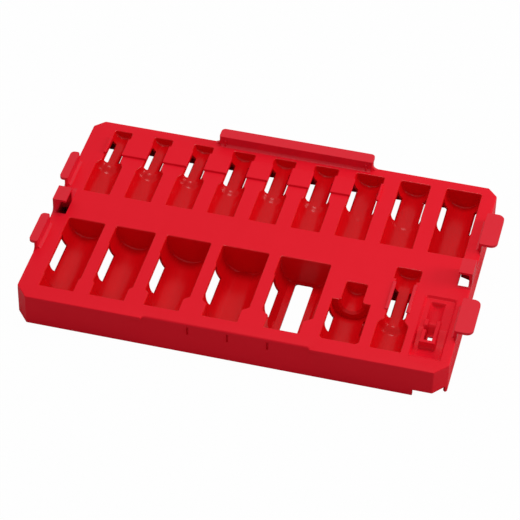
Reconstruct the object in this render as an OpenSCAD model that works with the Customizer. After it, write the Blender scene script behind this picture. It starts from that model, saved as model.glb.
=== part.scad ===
// Moulded socket tray: a hollow deck with two rows of side-lying pockets for deep sockets,
// a joint, an extension and a drive adapter. Millimetres, +Z up, front edge towards -Y.
// The whole tray is drawn from the front left corner of its deck, with z = 0 on the deck's top,
// and place() then moves it so that the origin is the middle of the footprint, on the ground.

/* [Body] */
// Length of the deck from its left edge to its right edge
deck_len = 280; // [260:1:320]
// Depth of the deck from its front edge to its back edge
deck_depth = 182; // [178:1:220]
// Height of the tray from the ground to the top of the deck
body_h = 22.5; // [20:0.5:32]
// Thickness of the deck
deck_t = 2.2; // [1.6:0.1:2.4]
// Thickness of the outer walls
wall_t = 1.8; // [1.2:0.1:2.6]
// Thickness of the shells that form the pockets
shell_t = 1.5; // [1:0.1:1.8]
// Length of the cut front corners along the front edge
front_cut_x = 8; // [4:0.5:12]
// Length of the cut front corners along the side edges
front_cut_y = 9.5; // [4:0.5:12]
// Length of the cut back corners along both edges
back_cut = 6.5; // [3:0.5:9]
// Thickness of the rib between the two rows of pockets
rib_t = 1.6; // [1:0.1:2.4]

/* [Pocket rows] */
// Distance that every socket stands proud of the deck
proud = 9.5; // [9:0.1:10.5]
// Length of the upper row's pockets
upper_len = 65.3; // [60:0.1:68]
// Distance from the upper row to the back edge
upper_margin = 7.8; // [6:0.1:9]
// Distance from the left edge to the upper row's first pocket
upper_left = 13; // [12:0.1:14]
// Distance from the upper row's last pocket to the right edge
upper_right = 10; // [9:0.1:12]
// Length of the drive end in an upper pocket
upper_drive_len = 29.8; // [20:0.1:32]
// Length of the upper pockets' taper for each millimetre of radius it takes off
upper_taper = 1.5; // [0.5:0.1:1.8]
// Length of the lower row's pockets
lower_len = 67.3; // [62:0.1:70]
// Distance from the front edge to the lower row
lower_margin = 12.7; // [12:0.1:14]
// Distance from the left edge to the lower row's first pocket
lower_left = 12.4; // [11.5:0.1:13]
// Distance from the lower row's last pocket, the adapter's, to the right edge
lower_right = 6.25; // [5:0.05:8]
// Length of the drive end in a lower pocket
lower_drive_len = 11.8; // [8:0.1:14]
// Length of the lower pockets' taper for each millimetre of radius it adds
lower_taper = 0.6; // [0.3:0.1:0.9]
// Size of the bevel at the back end of every pocket
end_bevel = 0.7; // [0.3:0.1:1]

/* [Socket diameters] */
// Drive end of the five smallest sockets
small_drive_d = 18; // [17:0.1:18.4]
// Drive end of socket 6
drive_6_d = 19; // [18:0.1:19.4]
// Drive end of socket 7
drive_7_d = 19.9; // [19.5:0.1:20.4]
// Drive end of socket 8
drive_8_d = 21.3; // [20.4:0.1:21.6]
// Drive end of the five largest sockets
large_drive_d = 22.5; // [20:0.1:23.5]
// Nose of socket 1
nose_1_d = 12.4; // [11:0.1:14]
// Nose of socket 2
nose_2_d = 12.9; // [11:0.1:15]
// Nose of socket 3
nose_3_d = 13.4; // [12:0.1:16]
// Nose of socket 4
nose_4_d = 15; // [13:0.1:17]
// Nose of socket 5
nose_5_d = 15; // [13:0.1:17]
// Nose of socket 6
nose_6_d = 16; // [14:0.1:18]
// Nose of socket 7
nose_7_d = 19.1; // [16:0.1:19.8]
// Nose of socket 8
nose_8_d = 20.2; // [18:0.1:21]
// Nose of socket 9, which has no step
nose_9_d = 23.6; // [22:0.1:24]
// Nose of socket 10
nose_10_d = 24.6; // [24:0.1:25]
// Nose of socket 11
nose_11_d = 26.7; // [26:0.1:27]
// Nose of socket 12
nose_12_d = 29.7; // [29:0.1:30]
// Nose of socket 13
nose_13_d = 31.1; // [30.5:0.1:31.4]
// Nose of socket 14
nose_14_d = 33.3; // [33:0.1:33.6]

/* [Side windows] */
// Width of a window inside the pocket, measured from the pocket's side
window_reach = 3.1; // [1.5:0.1:4]
// Distance from a pocket's front end to the back edge of its windows
window_back = 52.5; // [48:0.1:56]
// Distance from an upper pocket's taper to the front edge of its windows
upper_window_gap = 1.8; // [0.5:0.1:4]
// Distance from a lower pocket's front end to the front edge of its windows
lower_window_front = 24.8; // [20:0.1:32]
// Radius of a window's front corner
window_corner = 2.4; // [0.5:0.1:2.8]
// Width of the slot through the floor of the largest pocket
slot_w = 11.7; // [6:0.1:14]
// Distance from the largest pocket's front end to the slot
slot_front = 16.5; // [15.6:0.1:30]
// Distance from the slot to the largest pocket's back end
slot_back = 0.9; // [0.8:0.1:6]
// Radius of the slot's corners
slot_corner = 2; // [0.5:0.1:2.8]
// Least thickness of a pocket's floor
floor_t = 1.2; // [0.8:0.1:1.8]

/* [Grips] */
// Distance that a grip reaches over the edge of its pocket
grip_reach = 0.8; // [0.3:0.1:1.2]
// Height of the raised pads between the upper pockets
pad_h = 1.5; // [0.8:0.1:2.5]
// Distance from an upper pocket's front end to the pads
pad_front = 40.1; // [36:0.1:44]
// Length of the pads
pad_len = 17; // [10:0.5:22]
// Width of the two single strips at the ends of the row of pads
strip_w = 1.8; // [1:0.1:4]
// Bevel on the upper edges of pads, strips and lips
grip_bevel = 0.4; // [0.1:0.05:0.45]
// Distance that a lower pocket's lip reaches inwards
lip_reach = 1.2; // [0.5:0.1:1.6]
// Distance from a lower pocket's front end to its lips
lip_front = 16.5; // [15.6:0.1:24]
// Length of the lips
lip_len = 34; // [20:0.5:45]

/* [Joint and extension pockets] */
// Diameter of the joint's body
joint_d = 24.7; // [23:0.1:25]
// Length of the joint's body
joint_body_len = 37; // [30:0.5:42]
// Diameter of the joint's square end
joint_end_d = 13.8; // [10:0.1:16]
// Length of the joint with its square end
joint_len = 55; // [50:0.5:60]
// Length of the bevel on the rim between the joint's body and its end
joint_rim = 1.5; // [0.5:0.1:3]
// Size of the bevel at the joint pocket's front end
joint_front_bevel = 1.6; // [0.5:0.1:3]
// Distance from the joint pocket's front end to its windows
joint_window_front = 16.3; // [10:0.1:20]
// Length of the joint pocket's windows
joint_window_len = 15.5; // [8:0.5:18]
// Diameter of the extension's drive end
ext_head_d = 19.3; // [18:0.1:19.6]
// Length of the extension's drive end
ext_head_len = 23.3; // [18:0.1:28]
// Length of the taper from the drive end to the shaft
ext_taper_len = 5; // [2:0.1:8]
// Diameter of the extension's shaft
ext_shaft_d = 12.9; // [11:0.1:15]
// Diameter of the extension's square end
ext_end_d = 16.4; // [13:0.1:18]
// Length of the extension's square end
ext_end_len = 10.9; // [8:0.1:14]
// Length of the extension
ext_len = 76.7; // [74:0.1:80]
// Distance from the extension pocket's front end to its windows
ext_window_front = 33.8; // [30:0.1:38]
// Length of the extension pocket's windows
ext_window_len = 16.8; // [10:0.1:22]
// Width of the raised rims beside the extension's shaft
rim_w = 1.6; // [1:0.1:2.2]
// Height of the raised rims
rim_h = 0.9; // [0.5:0.1:1.5]
// Distance from the extension pocket's front end to the rims
rim_front = 35.8; // [30:0.1:40]
// Length of the rims
rim_len = 26.4; // [16:0.1:29]

/* [Adapter pocket] */
// Width of the adapter pocket
adapter_w = 20.4; // [18:0.1:21.5]
// Distance from the front edge to the adapter pocket
adapter_margin = 11.6; // [11:0.1:14]
// Length of the adapter pocket
adapter_len = 57; // [50:0.5:62]
// Width of the deck between the extension and the adapter
adapter_land = 5; // [4.6:0.1:5.4]
// Depth of the adapter pocket's flat floor
adapter_floor = 1.5; // [0.8:0.1:1.8]
// Diameter of the adapter's groove
groove_d = 10; // [8:0.1:11]
// Depth of the groove below the flat floor
groove_depth = 3.5; // [2:0.1:4]
// Distance from the middle of the pocket to the middle of the groove and the post
groove_offset = 1.1; // [0.5:0.1:2]
// Distance from the groove's back end to the pocket's back end
groove_margin = 4; // [2:0.1:8]
// Distance from the pocket's front end to the square post
post_front = 13.8; // [13:0.1:18]
// Length of the post's long wall
post_len = 21.6; // [16:0.1:24]
// Length of the post's short wall
post_short_len = 12.2; // [9:0.1:14]
// Width of the square post across X
post_w = 10.5; // [9:0.1:12]
// Thickness of the post's side walls
post_wall = 2; // [1.2:0.1:2.6]
// Thickness of the post's front wall
post_front_wall = 2.8; // [1.5:0.1:3.5]
// Length of the small nib behind the post's short wall
nib_len = 6; // [3:0.1:8]
// Depth of the finger scoop in front of the post
scoop_depth = 7; // [5.5:0.1:9]
// Width of the finger scoop
scoop_w = 15; // [10:0.1:17]

/* [Label channel] */
// Distance from the left edge to the label channel
label_left = 84; // [78:0.5:90]
// Length of the label channel
label_len = 109; // [90:0.5:116]
// Width of the label channel
label_w = 3.3; // [2:0.1:4]
// Depth of the label channel
label_depth = 4; // [3:0.1:6]
// Radius of the label channel's back corners
label_corner = 2.4; // [1:0.1:2.8]
// Width of the slots in the front wall
front_slot_w = 2.2; // [1:0.1:4]
// Height of the slots in the front wall
front_slot_h = 7.2; // [5:0.1:12]
// Distance from the left edge to the first slot's centre
front_slot_left = 113.9; // [105:0.1:120]
// Distance between the slots
front_slot_pitch = 25.9; // [18:0.1:28]

/* [Hooked edges] */
// Thickness of the tabs, the catches and the rear lip's flange
hook_t = 2; // [1.4:0.1:2.4]
// Height of the tabs above the deck
tab_h = 7; // [5:0.1:9]
// Length of the left tabs
left_tab_len = 28; // [20:0.5:34]
// Distance that the left tabs reach past the left edge
left_tab_reach = 3.8; // [2:0.1:6]
// Distance between the centres of the left tabs
left_tab_pitch = 65; // [60:0.5:72]
// Length of the right tabs
right_tab_len = 31.5; // [24:0.5:36]
// Distance that the right tabs reach past the right edge
right_tab_reach = 9.7; // [6:0.1:12]
// Distance between the centres of the right tabs
right_tab_pitch = 84.5; // [80:0.5:92]
// Radius of the blend between a tab or the lip and the deck
hook_fillet = 2.2; // [1:0.1:3]
// Radius of the blend at the ends of a tab's, the lip's or a catch's foot
end_fillet = 3; // [1:0.1:4]
// Radius of the left tabs' and the lip's outer corners
hook_corner = 2.8; // [1:0.1:3.5]
// Radius of the right tabs' outer corners
right_tab_corner = 4.5; // [2:0.1:6]
// Radius of the corners at a tab's inner side
inner_corner = 1.4; // [0.5:0.1:1.4]
// Distance from the left edge to the rear lip
lip_left = 88; // [80:0.5:92]
// Length of the rear lip
lip_w = 106.5; // [90:0.5:120]
// Height of the rear lip above the deck
lip_h = 7.4; // [5:0.1:9]
// Thickness of the rear lip's upright wall
lip_t = 3.7; // [2:0.1:4.5]
// Distance that the rear lip reaches past the back edge
lip_overhang = 5.2; // [2:0.1:7]
// Width of the gussets at the ends of the rear lip
gusset_w = 0.9; // [0.6:0.1:2]
// Height of the gussets
gusset_h = 4.8; // [2:0.1:5]
// Distance from an end of the rear lip to its gusset
gusset_inset = 4; // [2:0.1:8]

/* [Side catches] */
// Height of the catches above the deck
catch_h = 10; // [8:0.5:12]
// Width of the catches across X
catch_w = 9; // [7:0.1:10]
// Length of the catches
catch_len = 14; // [10:0.5:18]
// Distance from the front edge to the catches
catch_front = 84; // [83.5:0.5:88]
// Thickness of a catch's top plate
catch_plate = 1.6; // [1.2:0.1:2.4]
// Radius of the blend between a catch's outer wall and its top plate
catch_fillet = 1.6; // [0.5:0.1:3]
// Distance that the hole under a catch runs out in front of it
catch_hole_gap = 1.5; // [0.5:0.1:1.8]
// Depth of a catch's back wall below the deck's top, at its outer end
catch_skirt = 7; // [4:0.1:9]
// Height that the lower edge of a catch's back wall rises by towards its inner end
catch_skirt_rise = 2.2; // [0:0.1:2.5]

/* [Front corner notch] */
// Height of the notch in the bottom of the front right corner
notch_h = 4.7; // [2:0.1:7]
// Distance from the right edge to the notch
notch_margin = 1.1; // [0.8:0.1:2]
// Length of the notch along the front edge
notch_len = 19.4; // [12:0.1:26]

/* [Hidden] */
$fn = 64;

moulded_red = [0.84, 0.10, 0.15];
lit_red = [0.90, 0.18, 0.23];
shaded_red = [0.68, 0.05, 0.09];

// how far a cutting shape runs past the face it cuts
past = 1;

nose_ds = [nose_1_d, nose_2_d, nose_3_d, nose_4_d, nose_5_d, nose_6_d, nose_7_d, nose_8_d, nose_9_d,
           nose_10_d, nose_11_d, nose_12_d, nose_13_d, nose_14_d];
drive_ds = [small_drive_d, small_drive_d, small_drive_d, small_drive_d, small_drive_d,
            drive_6_d, drive_7_d, drive_8_d, nose_9_d,
            large_drive_d, large_drive_d, large_drive_d, large_drive_d, large_drive_d];
socket_count = len(nose_ds);
upper_count = 9;
widths = [for (i = [0 : socket_count - 1]) max(nose_ds[i], drive_ds[i])];

function is_upper(i) = i < upper_count;
function sum_between(v, from, to) = from >= to ? 0 : v[from] + sum_between(v, from + 1, to);

// the deck left between the pockets of a row, once the pockets and the margins are taken off
upper_land = (deck_len - upper_left - upper_right - sum_between(widths, 0, upper_count)) / (upper_count - 1);
lower_pockets = sum_between(widths, upper_count, socket_count) + joint_d + ext_head_d + adapter_w;
lower_land = (deck_len - lower_left - lower_right - lower_pockets - adapter_land)
           / (socket_count - upper_count + 1);
function socket_x(i) = is_upper(i)
    ? upper_left + sum_between(widths, 0, i) + i * upper_land + widths[i] / 2
    : lower_left + sum_between(widths, upper_count, i) + (i - upper_count) * lower_land + widths[i] / 2;
function socket_len(i) = is_upper(i) ? upper_len : lower_len;
function socket_y(i) = is_upper(i) ? upper_start : lower_margin;
function axis_z(d) = proud - d / 2;
function taper_len(i) = abs(nose_ds[i] - drive_ds[i]) / 2 * (is_upper(i) ? upper_taper : lower_taper);
function drive_len(i) = is_upper(i) ? upper_drive_len : lower_drive_len;
function window_front(i) = is_upper(i) ? drive_len(i) + taper_len(i) + upper_window_gap
                                       : lower_window_front;

last_socket_right = socket_x(socket_count - 1) + widths[socket_count - 1] / 2;
joint_x = last_socket_right + lower_land + joint_d / 2;
ext_x = joint_x + joint_d / 2 + lower_land + ext_head_d / 2;
adapter_x = ext_x + ext_head_d / 2 + adapter_land + adapter_w / 2;
lower_back = lower_margin + lower_len;
rib_y = lower_back + shell_t;
mid_y = deck_depth / 2;
catch_inside = max(hook_t, wall_t);

// where one region of the deck ends and the next begins, from the front edge
lower_step = lower_margin + lower_drive_len + taper_len(socket_count - 1);
joint_back = lower_margin + joint_len;
upper_start = deck_depth - upper_margin - upper_len;
upper_step = upper_start + upper_drive_len;
upper_back = deck_depth - upper_margin;

// the last upper socket that has a raised grip on both sides
last_gripped = 6;

// the middle of the whole footprint, hooked edges and all
origin_x = (deck_len + right_tab_reach - left_tab_reach) / 2;
origin_y = (deck_depth + lip_overhang) / 2;

// Each section of a pocket: [start, end, radius at the start, radius at the end], from its front end
function socket_sections(i) = let (d = drive_ds[i] / 2, n = nose_ds[i] / 2, a = drive_len(i),
                                   b = a + taper_len(i), c = socket_len(i))
    [[0, a, d, d], [a, b, d, n], [b, c - end_bevel, n, n], [c - end_bevel, c, n, n - end_bevel]];
joint_sections = let (j = joint_d / 2, e = joint_end_d / 2, b = joint_body_len, c = joint_len)
    [[0, joint_front_bevel, j - joint_front_bevel, j], [joint_front_bevel, b, j, j],
     [b, b + joint_rim, e + joint_rim, e], [b + joint_rim, c - end_bevel, e, e],
     [c - end_bevel, c, e, e - end_bevel]];
ext_sections = let (h = ext_head_d / 2, s = ext_shaft_d / 2, e = ext_end_d / 2, a = ext_head_len,
                    b = a + ext_taper_len, d = ext_len - ext_end_len)
    [[0, a, h, h], [a, b, h, s], [b, d, s, s], [d, ext_len - end_bevel, e, e],
     [ext_len - end_bevel, ext_len, e, e - end_bevel]];

module place() {
    translate([-origin_x, -origin_y, body_h]) children();
}

// One stretch of a pocket: a round bottom about an axis along +Y, with straight sides up from it
module channel(run, r_start, r_end, rise) {
    if (run > 0) {
        rotate([-90, 0, 0]) cylinder(h = run, r1 = r_start, r2 = r_end);
        linear_extrude(rise)
            polygon([[-r_start, 0], [r_start, 0], [r_end, run], [-r_end, run]]);
    }
}

// The space of a whole pocket, or with grow its outer form
module pocket(x, y, z, sections, grow) {
    for (s = sections) {
        translate([x, y + s[0] - grow, z])
            channel(s[1] - s[0] + 2 * grow, s[2] + grow, s[3] + grow, proud + past);
    }
}

module socket_pocket(i, grow = 0) {
    pocket(socket_x(i), socket_y(i), axis_z(widths[i]), socket_sections(i), grow);
}

module joint_pocket(grow = 0) {
    pocket(joint_x, lower_margin, axis_z(joint_d), joint_sections, grow);
}

module ext_pocket(grow = 0) {
    pocket(ext_x, lower_margin, axis_z(ext_head_d), ext_sections, grow);
}

// Rectangle from the origin with its two far corners rounded
module rounded_end(w, l, r) {
    square([w, l - r]);
    translate([r, l - 2 * r]) square([w - 2 * r, 2 * r]);
    for (x = [r, w - r]) translate([x, l - r]) circle(r);
}

// Rectangle about x = 0 with four round corners, from y = 0
module rounded_rect(w, l, r) {
    translate([-w / 2 + r, 0]) square([w - 2 * r, l]);
    translate([-w / 2, r]) square([w, l - 2 * r]);
    for (x = [r - w / 2, w / 2 - r], y = [r, l - r]) translate([x, y]) circle(r);
}

// Outline of the tray, drawn in from its edges by inset
function cut_at(a, b, inset) = a * (1 + inset * norm([1 / a, 1 / b])) - inset * a / b;
function outline(inset) = let (fx = cut_at(front_cut_x, front_cut_y, inset), l = deck_len,
                               fy = cut_at(front_cut_y, front_cut_x, inset), d = deck_depth,
                               b = cut_at(back_cut, back_cut, inset), i = inset)
    [[fx, i], [l - fx, i], [l - i, fy], [l - i, d - b], [l - b, d - i], [b, d - i], [i, d - b], [i, fy]];

// Both side windows of a pocket, straight down through its shell
module windows(x, y, r, front, back) {
    w = window_reach + shell_t + past;
    for (side = [0, 1])
        translate([x, y + back, 0]) mirror([side, 0, 0]) translate([r - window_reach, 0, -body_h - past])
            linear_extrude(body_h + past) mirror([0, 1]) {
                square([w, back - front - window_corner]);
                translate([window_corner, 0]) square([w - window_corner, back - front]);
                translate([window_corner, back - front - window_corner]) circle(window_corner);
            }
}

// The part of a child that hangs between the deck's underside and the ground
module below_deck(clearance = 0) {
    intersection() {
        children();
        translate([0, 0, -body_h + clearance]) cube([deck_len, deck_depth, body_h - clearance - deck_t]);
    }
}

// The part of a pocket's space that stays above its thinnest floor
module above_floor() {
    intersection() {
        children();
        translate([0, 0, -body_h + floor_t]) cube([deck_len, deck_depth, body_h + proud + past]);
    }
}

module label_groove(depth) {
    translate([label_left, wall_t, -depth]) linear_extrude(depth + past)
        rounded_end(label_len, label_w, label_corner);
}

module front_slots() {
    for (k = [0 : 2])
        translate([front_slot_left + k * front_slot_pitch - front_slot_w / 2, -past,
                   -front_slot_h - deck_t / 2])
            cube([front_slot_w, wall_t + 2 * past, front_slot_h]);
}

// Shapes on the left side are mirrored about the deck's middle line for the right side
module on_side(right) {
    if (right) translate([deck_len, 0, 0]) mirror([1, 0, 0]) children();
    else children();
}

module catch_holes() {
    for (right = [false, true]) on_side(right)
        translate([catch_inside, catch_front - catch_hole_gap, -deck_t - past])
            cube([catch_w - catch_inside, catch_len + catch_hole_gap, deck_t + 2 * past]);
}

// A profile in X and Z, as a plate that is t thick towards +Y
module upright(t) {
    translate([0, t, 0]) rotate([90, 0, 0]) linear_extrude(t) children();
}

// A bar with bevelled upper edges, from x = 0 and y = 0 up from z = 0
module bevelled_bar(w, l, h) {
    b = grip_bevel;
    upright(l) polygon([[0, 0], [w, 0], [w, h - b], [w - b, h], [b, h], [0, h - b]]);
}

// The whole deck with everything that is cut through it, and the lips on the lower pockets' sides
module deck_plate() {
    difference() {
        translate([0, 0, -deck_t]) linear_extrude(deck_t) polygon(outline(0));
        for (i = [0 : socket_count - 1]) socket_pocket(i);
        joint_pocket();
        ext_pocket();
        translate([adapter_x - adapter_w / 2, adapter_margin, -deck_t - past])
            cube([adapter_w, adapter_len, deck_t + 2 * past]);
        label_groove(deck_t + past);
        front_slots();
        catch_holes();
    }
    for (i = [upper_count : socket_count - 1], side = [0, 1])
        translate([socket_x(i), socket_y(i) + lip_front, -deck_t]) mirror([side, 0, 0])
            translate([widths[i] / 2 - lip_reach, 0, 0])
                bevelled_bar(lip_reach + shell_t, lip_len, deck_t);
}

// The stretch of the deck between two distances from the front edge, to the right of left
module deck_region(front, back, left = 0, right = deck_len) {
    intersection() {
        deck_plate();
        translate([left, front, -deck_t]) cube([right - left, back - front, deck_t]);
    }
}

// Behind the joint and the adapter, whose pockets are shorter, the deck comes further forward
module deck() {
    color(moulded_red) {
        deck_region(lower_back, upper_start, catch_w, deck_len - catch_w);
        deck_region(joint_back, lower_back, joint_x - joint_d / 2);
    }
}

module lower_back_lands() {
    color(moulded_red) {
        deck_region(lower_step, lower_back, 0, joint_x - joint_d / 2);
        deck_region(lower_step, joint_back, joint_x - joint_d / 2);
    }
}

module deck_band(front, back) {
    color(moulded_red) deck_region(front, back);
}

module wall_ring() {
    translate([0, 0, -body_h]) linear_extrude(body_h - deck_t) difference() {
        polygon(outline(0));
        polygon(outline(wall_t));
    }
}

module front_wall() {
    color(shaded_red) difference() {
        intersection() {
            wall_ring();
            translate([0, 0, -body_h]) cube([deck_len, front_cut_y, body_h]);
        }
        front_slots();
        translate([deck_len - notch_margin - notch_len, -past, -body_h - past])
            cube([notch_len, front_cut_y + past, notch_h + past]);
    }
}

module back_wall() {
    color(moulded_red) intersection() {
        wall_ring();
        translate([0, deck_depth - back_cut, -body_h]) cube([deck_len, back_cut, body_h]);
    }
}

module side_wall(right) {
    color(moulded_red) intersection() {
        wall_ring();
        on_side(right) translate([0, front_cut_y, -body_h])
            cube([back_cut, deck_depth - back_cut - front_cut_y, body_h]);
    }
}

module middle_rib() {
    color(shaded_red) difference() {
        translate([wall_t, rib_y, -body_h]) cube([deck_len - 2 * wall_t, rib_t, body_h - deck_t]);
        ext_pocket(shell_t);
        catch_holes();
    }
}

module label_channel() {
    color(shaded_red) difference() {
        translate([label_left - shell_t, wall_t, -label_depth - shell_t])
            cube([label_len + 2 * shell_t, label_w + shell_t, label_depth + shell_t - deck_t]);
        label_groove(label_depth);
        front_slots();
    }
}

// The corner between two faces, filled to a hollow round of radius r
module hollow_round(r) {
    difference() {
        square(r);
        translate([r, r]) circle(r);
    }
}

// The blends at both ends of an upright wall's foot; the wall is t thick and runs from y = 0 to l
module end_blends(t, l) {
    for (far = [0, 1]) translate([0, far * l, 0]) mirror([0, far, 0])
        rotate([90, 0, 90]) linear_extrude(t) mirror([1, 0]) hollow_round(end_fillet);
}

// Plan of a hooked edge's top: the outer corners are rounder than the inner ones
module hook_plan(t, l, reach, corner) {
    for (y = [inner_corner, l - inner_corner]) translate([t - inner_corner, y]) circle(inner_corner);
    for (y = [corner, l - corner]) translate([corner - reach, y]) circle(corner);
    translate([-reach, corner]) square([reach + t - inner_corner, l - 2 * corner]);
    translate([corner - reach, 0]) square([reach + t - corner - inner_corner, l]);
    translate([0, inner_corner]) square([t, l - 2 * inner_corner]);
}

// A hooked edge along +Y: an upright wall, t thick from x = 0 and blended into the deck all round,
// and a flange on it that reaches towards -X
module hooked_edge(t, l, h, reach, corner) {
    linear_extrude(h) intersection() {
        hook_plan(t, l, reach, corner);
        square([t, l]);
    }
    translate([0, 0, h - hook_t]) linear_extrude(hook_t) hook_plan(t, l, reach, corner);
    translate([t, inner_corner, 0]) upright(l - 2 * inner_corner) hollow_round(hook_fillet);
    end_blends(t - inner_corner, l);
}

module tab(right, rear) {
    l = right ? right_tab_len : left_tab_len;
    pitch = right ? right_tab_pitch : left_tab_pitch;
    reach = right ? right_tab_reach : left_tab_reach;
    corner = right ? right_tab_corner : hook_corner;
    color(lit_red) on_side(right) translate([0, mid_y + (rear ? 1 : -1) * pitch / 2 - l / 2, 0])
        hooked_edge(hook_t, l, tab_h, reach, corner);
}

module rear_lip() {
    color(lit_red) translate([lip_left, deck_depth, 0]) rotate([0, 0, -90]) {
        hooked_edge(lip_t, lip_w, lip_h, lip_overhang, hook_corner);
        for (y = [gusset_inset, lip_w - gusset_inset - gusset_w])
            translate([lip_t - past, y, 0]) cube([past + hook_fillet / 2, gusset_w, gusset_h]);
    }
}

// A catch, with the piece of the deck round the hole beneath it
module side_catch(right) {
    under = catch_h - catch_plate;
    color(lit_red) on_side(right) deck_region(lower_back, upper_start, 0, catch_w);
    color(lit_red) on_side(right) translate([0, catch_front, 0]) {
        end_blends(hook_t, catch_len);
        upright(catch_len) {
            square([hook_t, catch_h]);
            translate([0, under]) square([catch_w, catch_plate]);
            translate([hook_t, under - catch_fillet]) difference() {
                square(catch_fillet);
                translate([catch_fillet, 0]) circle(catch_fillet);
            }
        }
        translate([0, catch_len - hook_t, 0]) upright(hook_t)
            polygon([[0, 0], [catch_inside, 0], [catch_inside, -catch_skirt],
                     [catch_w, catch_skirt_rise - catch_skirt], [catch_w, catch_h], [0, catch_h]]);
    }
}

module grip_pads() {
    y = socket_y(0) + pad_front;
    color(lit_red) {
        for (i = [0 : last_gripped - 1]) {
            left = socket_x(i) + nose_ds[i] / 2 - grip_reach;
            right = socket_x(i + 1) - nose_ds[i + 1] / 2 + grip_reach;
            translate([left, y, 0]) bevelled_bar(right - left, pad_len, pad_h);
        }
        translate([socket_x(0) - nose_ds[0] / 2 + grip_reach - strip_w, y, 0])
            bevelled_bar(strip_w, pad_len, pad_h);
        translate([socket_x(last_gripped) + nose_ds[last_gripped] / 2 - grip_reach, y, 0])
            bevelled_bar(strip_w, pad_len, pad_h);
    }
}

module extension_rims() {
    color(lit_red) for (side = [0, 1])
        translate([ext_x, lower_margin + rim_front, 0]) mirror([side, 0, 0])
            translate([ext_shaft_d / 2 - grip_reach, 0, 0]) bevelled_bar(rim_w + grip_reach, rim_len, rim_h);
}

module cradle(i) {
    x = socket_x(i);
    y = socket_y(i);
    color(shaded_red) difference() {
        below_deck() socket_pocket(i, shell_t);
        above_floor() socket_pocket(i);
        windows(x, y, nose_ds[i] / 2, window_front(i), window_back);
        if (i == socket_count - 1)
            translate([x, y + slot_front, -body_h - past]) linear_extrude(body_h)
                rounded_rect(slot_w, lower_len - slot_front - slot_back, slot_corner);
    }
}

module joint_cradle() {
    color(shaded_red) difference() {
        below_deck() joint_pocket(shell_t);
        joint_pocket();
        windows(joint_x, lower_margin, joint_d / 2,
                joint_window_front, joint_window_front + joint_window_len);
    }
}

module extension_cradle() {
    color(shaded_red) difference() {
        below_deck() ext_pocket(shell_t);
        ext_pocket();
        windows(ext_x, lower_margin, ext_shaft_d / 2, ext_window_front, ext_window_front + ext_window_len);
    }
}

// A box about the middle of the groove, from the pocket's front end, between two heights
module adapter_box(w, front, back, low, high) {
    translate([adapter_x - groove_offset - w / 2, adapter_margin + front, low])
        cube([w, back - front, high - low]);
}

// The adapter's round groove, from the post to its back end
module adapter_groove(grow = 0) {
    run = adapter_len - groove_margin - post_front + 2 * grow;
    translate([adapter_x - groove_offset, adapter_margin + post_front - grow,
               groove_d / 2 - adapter_floor - groove_depth])
        channel(run, groove_d / 2 + grow, groove_d / 2 + grow, groove_d);
}

// The finger scoop: a hollow that is deepest at the foot of the post
module finger_scoop(grow = 0) {
    r = (post_front * post_front + scoop_depth * scoop_depth) / (2 * scoop_depth);
    intersection() {
        adapter_box(scoop_w + 2 * grow, -grow, post_front + grow, -scoop_depth - grow, past);
        translate([adapter_x, adapter_margin + post_front, r - scoop_depth]) rotate([0, 90, 0])
            cylinder(h = scoop_w + 2 * adapter_w, r = r + grow, center = true, $fn = 128);
    }
}

module adapter_tray() {
    left = adapter_x - adapter_w / 2;
    color(shaded_red) difference() {
        union() {
            translate([left - shell_t, adapter_margin - shell_t, -deck_t - shell_t])
                cube([adapter_w + 2 * shell_t, adapter_len + 2 * shell_t, shell_t]);
            translate([left, adapter_margin, -deck_t]) cube([adapter_w, adapter_len, deck_t - adapter_floor]);
            below_deck() adapter_groove(shell_t);
            below_deck() finger_scoop(shell_t);
        }
        adapter_groove();
        finger_scoop();
        adapter_box(post_w, post_front, post_front + post_len, -body_h, past);
    }
}

module adapter_post() {
    inner_w = post_w - 2 * post_wall;
    short_end = post_front + post_short_len;
    color(moulded_red) difference() {
        adapter_box(post_w, post_front, post_front + post_len, -scoop_depth - shell_t, 0);
        adapter_box(inner_w, post_front + post_front_wall, short_end, -body_h, past);
        adapter_box(inner_w, short_end - past, post_front + post_len + past,
                    -adapter_floor - groove_depth, past);
        translate([-post_w / 2, 0, 0])
            adapter_box(post_w, short_end, post_front + post_len - nib_len, -adapter_floor, past);
    }
}

place() deck();
place() deck_band(0, lower_margin);  // front_rail
place() deck_band(upper_back, deck_depth);  // rear_rail
place() deck_band(lower_margin, lower_step);  // lower_front_lands
place() lower_back_lands();
place() deck_band(upper_start, upper_step);  // upper_front_lands
place() deck_band(upper_step, upper_back);  // upper_back_lands
place() front_wall();
place() back_wall();
place() side_wall(false);  // left_wall
place() side_wall(true);  // right_wall
place() middle_rib();
place() label_channel();
place() rear_lip();
place() tab(false, true);  // left_rear_tab
place() tab(false, false);  // left_front_tab
place() tab(true, true);  // right_rear_tab
place() tab(true, false);  // right_front_tab
place() side_catch(false);  // left_catch
place() side_catch(true);  // right_catch
place() grip_pads();
place() extension_rims();
place() cradle(0);  // cradle_01
place() cradle(1);  // cradle_02
place() cradle(2);  // cradle_03
place() cradle(3);  // cradle_04
place() cradle(4);  // cradle_05
place() cradle(5);  // cradle_06
place() cradle(6);  // cradle_07
place() cradle(7);  // cradle_08
place() cradle(8);  // cradle_09
place() cradle(9);  // cradle_10
place() cradle(10);  // cradle_11
place() cradle(11);  // cradle_12
place() cradle(12);  // cradle_13
place() cradle(13);  // cradle_14
place() joint_cradle();
place() extension_cradle();
place() adapter_tray();
place() adapter_post();
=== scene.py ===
"""Moulded red socket tray: its soft-edged skin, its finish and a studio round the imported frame.

Lengths in the classes are in millimetres, measured as the tray is drawn: x from its left edge,
y from its front edge and z up from the deck's top. The meshes are in metres, in the frame's own
place.
"""

import logging
import math
from collections.abc import Sequence
from dataclasses import dataclass, field
from enum import Enum

import bmesh
import bpy
import numpy as np
from mathutils import Matrix, Vector
from mathutils.geometry import delaunay_2d_cdt


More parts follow.
